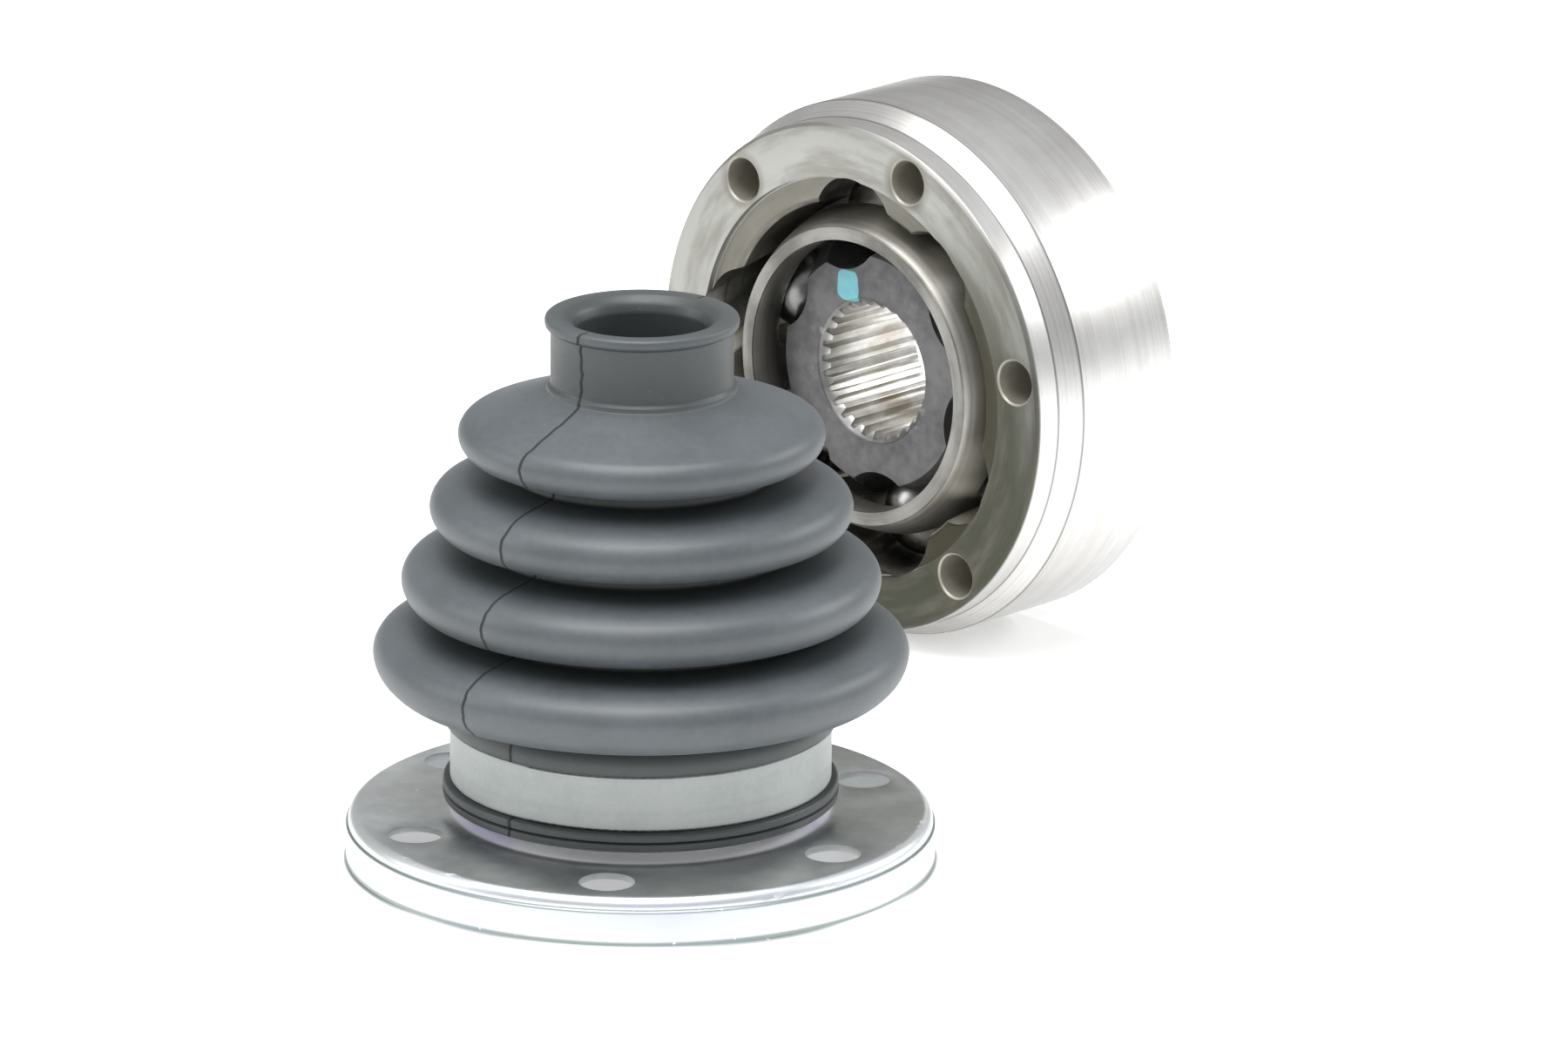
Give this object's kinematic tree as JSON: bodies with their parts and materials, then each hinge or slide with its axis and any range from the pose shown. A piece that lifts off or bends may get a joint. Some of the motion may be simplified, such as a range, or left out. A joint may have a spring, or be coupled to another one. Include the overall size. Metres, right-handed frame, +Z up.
{
  "type": "constant velocity joint with boot kit",
  "caption": "Inner cross-groove constant velocity joint on its side, with its bellows boot, clamp band and pressed flange cap standing beside it.",
  "frame": {"origin": "middle of the layout's footprint, on the surface that the joint and the boot kit stand on", "axes": "+Z up; the joint's own axis lies along Y and its open front face looks along -Y; the boot's own axis is along Z"},
  "size_m": [0.1856, 0.2288, 0.1116],
  "materials": {
    "machined_steel": "turned and ground steel, lightly oiled",
    "cage_steel": "hardened and ground, straw tinted",
    "hub_steel": "dark hardened steel, bright broached splines",
    "ball_steel": "polished bearing steel",
    "zinc_plate": "bright zinc plate with a faint blue tint",
    "band_steel": "satin steel strip",
    "boot_rubber": "moulded rubber, satin, with a mould parting line"
  },
  "bodies": {
    "outer_race": {"outer_race": "machined_steel"},
    "ball_cage": {"ball_cage": "cage_steel"},
    "inner_race": {"inner_race": "hub_steel"},
    "ball_1": {"ball_1": "ball_steel"},
    "ball_2": {"ball_2": "ball_steel"},
    "ball_3": {"ball_3": "ball_steel"},
    "ball_4": {"ball_4": "ball_steel"},
    "ball_5": {"ball_5": "ball_steel"},
    "ball_6": {"ball_6": "ball_steel"},
    "boot_kit": {"flange_cap": "zinc_plate", "clamp_band": "band_steel", "boot_base": "boot_rubber", "boot_bellows": "boot_rubber"},
    "boot_collar": {"boot_collar": "boot_rubber"}
  },
  "joints": [
    {"name": "plunge", "type": "slide", "parent": "outer_race", "child": "ball_2", "axis": [0, -1, 0], "range_m": [-0.00125, 0.00125]},
    {"name": "cage_tilt", "type": "hinge", "parent": "ball_2", "child": "ball_cage", "pos_m": [-0.03703, 0.09542, 0.0558], "axis": [-0.1788, 0, 0.9839], "range_deg": [-9, 9]},
    {"name": "race_tilt", "type": "hinge", "parent": "ball_cage", "child": "ball_5", "pos_m": [-0.03703, 0.09542, 0.0558], "axis": [-0.1788, 0, 0.9839], "range_deg": [-9, 9]},
    {"name": "race_plunge", "type": "slide", "parent": "ball_5", "child": "inner_race", "axis": [0, -1, 0], "range_m": [-0.00125, 0.00125]},
    {"name": "ball_1_roll", "type": "hinge", "parent": "ball_cage", "child": "ball_1", "pos_m": [-0.011, 0.09542, 0.07787], "axis": [0, -1, 0], "range_deg": [-26.83, 26.83]},
    {"name": "ball_3_roll", "type": "hinge", "parent": "ball_cage", "child": "ball_3", "pos_m": [-0.06915, 0.09542, 0.0673], "axis": [0, -1, 0], "range_deg": [-26.83, 26.83]},
    {"name": "ball_4_roll", "type": "hinge", "parent": "ball_cage", "child": "ball_4", "pos_m": [-0.06305, 0.09542, 0.03373], "axis": [0, -1, 0], "range_deg": [-26.83, 26.83]},
    {"name": "ball_6_roll", "type": "hinge", "parent": "ball_cage", "child": "ball_6", "pos_m": [-0.0049, 0.09542, 0.0443], "axis": [0, -1, 0], "range_deg": [-26.83, 26.83]},
    {"name": "kit_lift", "type": "slide", "parent": "outer_race", "child": "boot_kit", "axis": [0, 0, 1], "range_m": [0, 0.13]},
    {"name": "boot_stretch", "type": "slide", "parent": "boot_kit", "child": "boot_collar", "axis": [0, 0, 1], "range_m": [-0.025, 0.015], "stiffness_N_per_m": 1500, "deforming": ["boot_bellows"]}
  ],
  "couplings": [
    {"joint": "race_tilt", "follows": "cage_tilt", "ratio": 1},
    {"joint": "race_plunge", "follows": "plunge", "ratio": 1},
    {"joint": "ball_1_roll", "follows": "cage_tilt", "ratio": 2.9253},
    {"joint": "ball_3_roll", "follows": "cage_tilt", "ratio": -2.9253},
    {"joint": "ball_4_roll", "follows": "cage_tilt", "ratio": 2.9253},
    {"joint": "ball_6_roll", "follows": "cage_tilt", "ratio": -2.9253}
  ]
}
